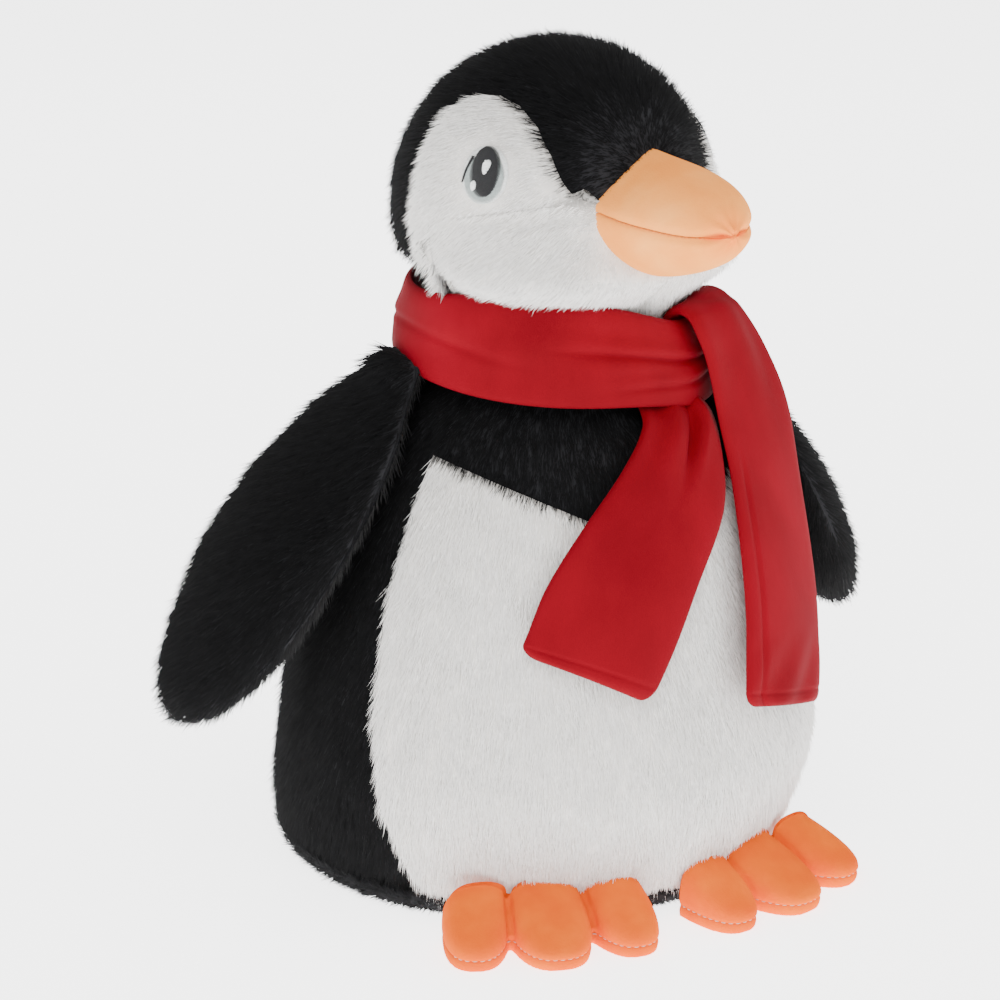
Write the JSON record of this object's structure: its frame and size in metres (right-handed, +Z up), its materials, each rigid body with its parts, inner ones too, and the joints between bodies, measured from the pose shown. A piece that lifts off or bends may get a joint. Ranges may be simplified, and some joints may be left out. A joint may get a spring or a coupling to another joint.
{
  "type": "plush penguin",
  "caption": "Stuffed plush penguin standing on a flat base and two toed feet, with flipper wings, a padded beak, embroidered eyes and a cloth scarf with hanging tails.",
  "frame": {"origin": "centre of the standing footprint, on the flat underside of the base panel", "axes": "+Z up; the penguin faces -Y and its own left side is +X"},
  "size_m": [0.2799, 0.2161, 0.3],
  "materials": {
    "black_plush": "dense short plush pile",
    "white_plush": "dense short plush pile",
    "beak_velour": "short velour",
    "foot_velour": "short velour",
    "scarf_velour": "smooth satin-like velour",
    "eye_thread": "satin-stitch embroidery",
    "stuffing": "polyester fibre filling",
    "pellets": "cloth bag of plastic pellets"
  },
  "bodies": {
    "torso": {"belly_panel": "white_plush", "chest_panel": "black_plush", "back_panel_left": "black_plush", "back_panel_right": "black_plush", "base_panel": "black_plush", "body_stuffing": "stuffing", "pellet_pouch": "pellets", "scarf_collar": "scarf_velour", "scarf_loop": "scarf_velour"},
    "head": {"head_gusset": "black_plush", "head_side_left": "black_plush", "head_side_right": "black_plush", "face_left": "white_plush", "face_right": "white_plush", "head_stuffing": "stuffing", "eye_left": "eye_thread", "eye_right": "eye_thread", "beak_upper": "beak_velour", "beak_lower": "beak_velour", "beak_stuffing": "stuffing"},
    "wing_left": {"wing_left_outer_panel": "black_plush", "wing_left_inner_panel": "black_plush", "wing_left_stuffing": "stuffing"},
    "wing_right": {"wing_right_outer_panel": "black_plush", "wing_right_inner_panel": "black_plush", "wing_right_stuffing": "stuffing"},
    "foot_left": {"foot_left_sole": "foot_velour", "foot_left_top": "foot_velour", "foot_left_stuffing": "stuffing"},
    "foot_right": {"foot_right_sole": "foot_velour", "foot_right_top": "foot_velour", "foot_right_stuffing": "stuffing"},
    "scarf_tail_under": {"scarf_tail_under": "scarf_velour"},
    "scarf_tail_over": {"scarf_tail_over": "scarf_velour"}
  },
  "joints": [
    {"name": "head_turn", "type": "hinge", "parent": "torso", "child": "head", "pos_m": [0, -0.004, 0.198], "axis": [0, 0, 1], "range_deg": [-37, 13], "stiffness_Nm_per_rad": 0.05},
    {"name": "wing_left_lift", "type": "hinge", "parent": "torso", "child": "wing_left", "pos_m": [0.064, 0, 0.182], "axis": [0, -0.9945, -0.1045], "range_deg": [0, 60], "stiffness_Nm_per_rad": 0.05},
    {"name": "wing_right_lift", "type": "hinge", "parent": "torso", "child": "wing_right", "pos_m": [-0.064, 0, 0.182], "axis": [0, 0.9945, 0.1045], "range_deg": [0, 60], "stiffness_Nm_per_rad": 0.05},
    {"name": "scarf_tail_under_swing", "type": "hinge", "parent": "torso", "child": "scarf_tail_under", "pos_m": [0.0132, -0.0632, 0.1765], "axis": [-0.866, -0.5, 0], "range_deg": [0, 100]},
    {"name": "scarf_tail_over_swing", "type": "hinge", "parent": "torso", "child": "scarf_tail_over", "pos_m": [0.0423, -0.0483, 0.206], "axis": [-0.866, -0.5, 0], "range_deg": [0, 100]},
    {"name": "foot_left_droop", "type": "hinge", "parent": "torso", "child": "foot_left", "pos_m": [0.0376, -0.0607, 0], "axis": [0.9613, 0.2756, 0], "range_deg": [0, 35]},
    {"name": "foot_right_droop", "type": "hinge", "parent": "torso", "child": "foot_right", "pos_m": [-0.0376, -0.0607, 0], "axis": [0.9613, -0.2756, 0], "range_deg": [0, 35]}
  ]
}
